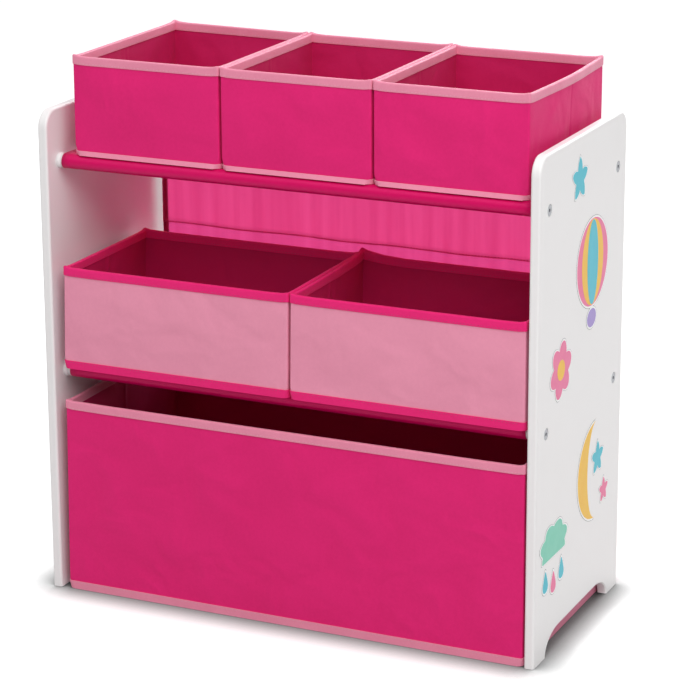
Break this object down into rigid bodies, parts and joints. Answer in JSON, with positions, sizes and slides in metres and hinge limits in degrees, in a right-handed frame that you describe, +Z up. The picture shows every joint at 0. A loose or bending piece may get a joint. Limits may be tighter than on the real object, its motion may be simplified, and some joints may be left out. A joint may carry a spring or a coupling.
{
  "type": "toy storage organizer with bins",
  "caption": "Children's toy organizer: painted side panels joined by tubes that carry cloth shelves and a back curtain, with board-stiffened cloth bins that lift off or pull out.",
  "frame": {"origin": "on the floor, below the middle of the frame", "axes": "+X to the right seen from the front, -Y towards the front where the bins pull out, +Z up from the floor"},
  "size_m": [0.63, 0.288, 0.6593],
  "materials": {
    "panel_paint": "white painted 12 mm board, satin",
    "tube_steel": "powder-coated steel tube",
    "cap_plastic": "moulded white polypropylene",
    "bolt_zinc": "zinc-plated",
    "shelf_cloth": "hot-pink woven polyester, slightly glossy",
    "cloth_hot_pink": "hot-pink non-woven polyester",
    "cloth_light_pink": "light-pink non-woven polyester",
    "tape_light_pink": "light-pink binding tape",
    "tape_hot_pink": "hot-pink binding tape",
    "stiffener_board": "grey-brown pressed cardboard",
    "sticker_vinyl": "printed vinyl decals on the right panel, added with the looks"
  },
  "bodies": {
    "frame": {"side_panel_left": "panel_paint", "panel_bolts_left": "bolt_zinc", "tube_caps_left": "cap_plastic", "side_panel_right": "panel_paint", "panel_bolts_right": "bolt_zinc", "tube_caps_right": "cap_plastic", "top_front_tube": "tube_steel", "top_rear_tube": "tube_steel", "top_shelf_sling": "shelf_cloth", "middle_front_tube": "tube_steel", "middle_rear_tube": "tube_steel", "middle_shelf_sling": "shelf_cloth", "back_curtain": "shelf_cloth"},
    "top_bin_left": {"top_bin_left_skin": "cloth_hot_pink", "top_bin_left_lining": "cloth_hot_pink", "top_bin_left_wall_boards": "stiffener_board", "top_bin_left_rim_binding": "tape_light_pink", "top_bin_left_base_binding": "tape_light_pink", "top_bin_left_base_board": "stiffener_board"},
    "top_bin_middle": {"top_bin_middle_skin": "cloth_hot_pink", "top_bin_middle_lining": "cloth_hot_pink", "top_bin_middle_wall_boards": "stiffener_board", "top_bin_middle_rim_binding": "tape_light_pink", "top_bin_middle_base_binding": "tape_light_pink", "top_bin_middle_base_board": "stiffener_board"},
    "top_bin_right": {"top_bin_right_skin": "cloth_hot_pink", "top_bin_right_lining": "cloth_hot_pink", "top_bin_right_wall_boards": "stiffener_board", "top_bin_right_rim_binding": "tape_light_pink", "top_bin_right_base_binding": "tape_light_pink", "top_bin_right_base_board": "stiffener_board"},
    "middle_bin_left": {"middle_bin_left_skin": "cloth_light_pink", "middle_bin_left_lining": "cloth_hot_pink", "middle_bin_left_wall_boards": "stiffener_board", "middle_bin_left_rim_binding": "tape_hot_pink", "middle_bin_left_base_binding": "tape_hot_pink", "middle_bin_left_base_board": "stiffener_board"},
    "middle_bin_right": {"middle_bin_right_skin": "cloth_light_pink", "middle_bin_right_lining": "cloth_hot_pink", "middle_bin_right_wall_boards": "stiffener_board", "middle_bin_right_rim_binding": "tape_hot_pink", "middle_bin_right_base_binding": "tape_hot_pink", "middle_bin_right_base_board": "stiffener_board"},
    "bottom_bin": {"bottom_bin_skin": "cloth_hot_pink", "bottom_bin_lining": "cloth_hot_pink", "bottom_bin_wall_boards": "stiffener_board", "bottom_bin_rim_binding": "tape_light_pink", "bottom_bin_base_binding": "tape_light_pink", "bottom_bin_base_board": "stiffener_board"}
  },
  "joints": [
    {"name": "top_bin_left_lift", "type": "slide", "parent": "frame", "child": "top_bin_left", "axis": [0, 0, 1], "range_m": [0, 0.12]},
    {"name": "top_bin_middle_lift", "type": "slide", "parent": "frame", "child": "top_bin_middle", "axis": [0, 0, 1], "range_m": [0, 0.12]},
    {"name": "top_bin_right_lift", "type": "slide", "parent": "frame", "child": "top_bin_right", "axis": [0, 0, 1], "range_m": [0, 0.12]},
    {"name": "middle_bin_left_pull", "type": "slide", "parent": "frame", "child": "middle_bin_left", "axis": [0, -1, 0], "range_m": [0, 0.21]},
    {"name": "middle_bin_right_pull", "type": "slide", "parent": "frame", "child": "middle_bin_right", "axis": [0, -1, 0], "range_m": [0, 0.21]},
    {"name": "bottom_bin_pull", "type": "slide", "parent": "frame", "child": "bottom_bin", "axis": [0, -1, 0], "range_m": [0, 0.29]}
  ]
}
